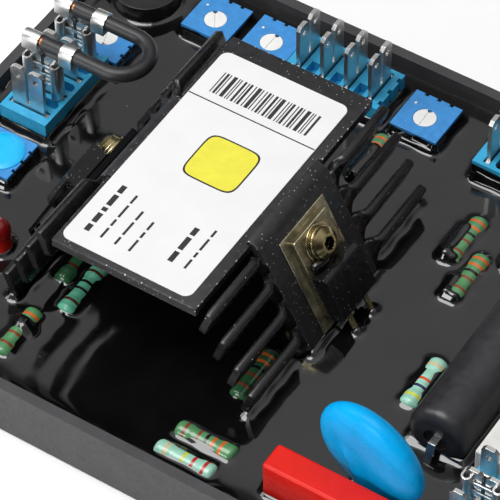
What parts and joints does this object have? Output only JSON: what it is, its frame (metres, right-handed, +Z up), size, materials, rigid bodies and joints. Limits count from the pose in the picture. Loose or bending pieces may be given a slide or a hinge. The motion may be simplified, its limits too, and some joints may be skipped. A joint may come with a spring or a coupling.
{
  "type": "automatic voltage regulator",
  "caption": "Potted generator voltage regulator: shallow tray of resin holding a louvred heat sink with power devices, blade terminal blocks, trimmers and small components.",
  "frame": {"origin": "middle of the tray's flat underside", "axes": "+X along the tray's length, +Y across it, +Z up out of the tray"},
  "size_m": [0.15, 0.1024, 0.0297],
  "materials": {
    "tray_plastic": "fine matte moulding",
    "resin": "glossy cast resin",
    "board": "laminate",
    "sink_sheet": "black anodised, satin",
    "label": "plain white film",
    "pad": "insulating pad",
    "tab_metal": "plated copper",
    "device_plastic": "moulded epoxy",
    "leg_metal": "dull",
    "fastener": "yellow zinc",
    "block_plastic": "moulded, semi-gloss",
    "blade_metal": "tinned",
    "wire_cover": "satin insulation",
    "copper": "bare copper",
    "trimmer_plastic": "moulded, semi-gloss",
    "rotor_plastic": "moulded",
    "seal_lacquer": "locking lacquer",
    "resistor_dark": "lacquer",
    "resistor_light": "lacquer",
    "film_case": "dipped",
    "varistor_coat": "dipped",
    "capacitor_case": "sleeve",
    "ceramic": "cement filled",
    "lamp": "tinted lens"
  },
  "bodies": {
    "regulator": {"tray": "tray_plastic", "potting_resin": "resin", "circuit_board": "board", "heat_sink": "sink_sheet", "sink_label": "label", "device_pads": "pad", "device_tabs": "tab_metal", "device_bodies": "device_plastic", "device_legs": "leg_metal", "device_screws": "fastener", "device_washers": "fastener", "device_spring_washers": "fastener", "device_nuts": "fastener", "receptacle_1": "blade_metal", "receptacle_2": "blade_metal", "receptacle_low": "blade_metal", "link_wire": "wire_cover", "link_cores": "copper", "trimmer_seal": "seal_lacquer", "film_capacitor": "film_case", "disc_varistor": "varistor_coat", "varistor_leads": "blade_metal", "axial_capacitor": "capacitor_case", "axial_leads": "blade_metal", "ceramic_resistor": "ceramic", "round_can": "capacitor_case", "lamp_left": "lamp", "lamp_right": "lamp", "block_left": "block_plastic", "blades_left": "blade_metal", "block_far": "block_plastic", "blades_far": "blade_metal", "block_right": "block_plastic", "blades_right": "blade_metal", "block_low": "block_plastic", "blades_low": "blade_metal", "trimmer_1": "trimmer_plastic", "trimmer_2": "trimmer_plastic", "trimmer_3": "trimmer_plastic", "trimmer_4": "trimmer_plastic", "trimmer_5": "trimmer_plastic", "rotor_5": "rotor_plastic", "resistor_1": "resistor_dark", "resistor_2": "resistor_light", "resistor_3": "resistor_dark", "resistor_4": "resistor_dark", "resistor_5": "resistor_light", "resistor_6": "resistor_dark", "resistor_7": "resistor_light", "resistor_8": "resistor_dark", "resistor_9": "resistor_dark", "resistor_10": "resistor_dark"},
    "rotor_1": {"rotor_1": "rotor_plastic"},
    "rotor_2": {"rotor_2": "rotor_plastic"},
    "rotor_3": {"rotor_3": "rotor_plastic"},
    "rotor_4": {"rotor_4": "rotor_plastic"}
  },
  "joints": [
    {"name": "trim_1_turn", "type": "hinge", "parent": "regulator", "child": "rotor_1", "pos_m": [-0.0489, 0.04, 0.0106], "axis": [0, 0, 1], "range_deg": [-130, 130]},
    {"name": "trim_2_turn", "type": "hinge", "parent": "regulator", "child": "rotor_2", "pos_m": [-0.0372, 0.04055, 0.0106], "axis": [0, 0, 1], "range_deg": [-130, 130]},
    {"name": "trim_3_turn", "type": "hinge", "parent": "regulator", "child": "rotor_3", "pos_m": [-0.00417, 0.0394, 0.0106], "axis": [0, 0, 1], "range_deg": [-130, 130]},
    {"name": "trim_4_turn", "type": "hinge", "parent": "regulator", "child": "rotor_4", "pos_m": [-0.0632, 0.0258, 0.0106], "axis": [0, 0, 1], "range_deg": [-130, 130]}
  ]
}
